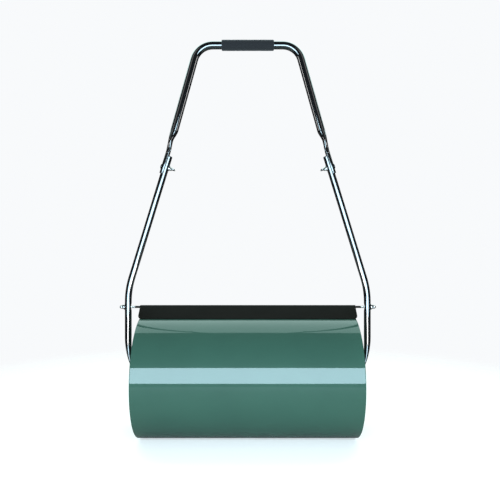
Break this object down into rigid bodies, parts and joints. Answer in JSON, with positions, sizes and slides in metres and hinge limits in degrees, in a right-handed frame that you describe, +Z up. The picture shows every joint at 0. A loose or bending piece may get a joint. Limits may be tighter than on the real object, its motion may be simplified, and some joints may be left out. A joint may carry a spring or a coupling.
{
  "type": "lawn roller",
  "caption": "Water-fillable steel lawn roller: a smooth drum between bent tubes, a push handle with a foam grip, and a hinged scraper blade.",
  "frame": {"origin": "on the ground under the middle of the drum, which is the box's bottom centre", "axes": "+X along the axle to the side with the filler plug, -Y to the side where the scraper blade meets the drum, +Z up through the handle"},
  "size_m": [0.6904, 0.32, 1.0644],
  "materials": {
    "drum_green": "glossy enamel",
    "tube_black": "gloss powder coat",
    "blade_black": "satin enamel",
    "zinc_steel": "bright zinc plate",
    "shaft_steel": "ground steel",
    "foam_grey": "closed-cell foam",
    "plastic_black": "moulded",
    "nylon_natural": "moulded nylon",
    "gasket_rubber": "matt"
  },
  "bodies": {
    "frame": {"lower_tube_left": "tube_black", "lower_tube_right": "tube_black", "tube_end_caps": "plastic_black", "upper_handle": "tube_black", "foam_grip": "foam_grey", "joint_bolts": "tube_black", "joint_washers": "zinc_steel", "wing_nuts": "zinc_steel", "axle_shaft": "shaft_steel", "axle_spacers": "nylon_natural", "axle_washers": "zinc_steel", "axle_bolts": "zinc_steel"},
    "drum": {"drum_shell": "drum_green", "end_disc_left": "drum_green", "end_disc_right": "drum_green", "filler_neck": "drum_green", "axle_tube": "drum_green", "hub_plate_left": "drum_green", "hub_plate_right": "drum_green", "axle_bush_left": "nylon_natural", "axle_bush_right": "nylon_natural"},
    "scraper": {"scraper_blade": "blade_black", "scraper_rod": "blade_black", "scraper_washers": "zinc_steel", "scraper_nuts": "zinc_steel"},
    "gasket": {"filler_gasket": "gasket_rubber"},
    "plug": {"filler_plug": "plastic_black"}
  },
  "joints": [
    {"name": "drum_spin", "type": "hinge", "parent": "frame", "child": "drum", "pos_m": [0, 0, 0.16], "axis": [1, 0, 0], "continuous": true},
    {"name": "scraper_swing", "type": "hinge", "parent": "frame", "child": "scraper", "pos_m": [0, 0, 0.3445], "axis": [-1, 0, 0], "range_deg": [0, 240]},
    {"name": "plug_travel", "type": "slide", "parent": "drum", "child": "gasket", "axis": [1, 0, 0], "range_m": [0, 0.016]},
    {"name": "plug_turn", "type": "hinge", "parent": "gasket", "child": "plug", "pos_m": [0.2815, -0.06749, 0.24044], "axis": [1, 0, 0], "range_deg": [0, 1440]}
  ],
  "couplings": [
    {"joint": "plug_travel", "follows": "plug_turn", "m_per_rad": 0.00063662}
  ]
}
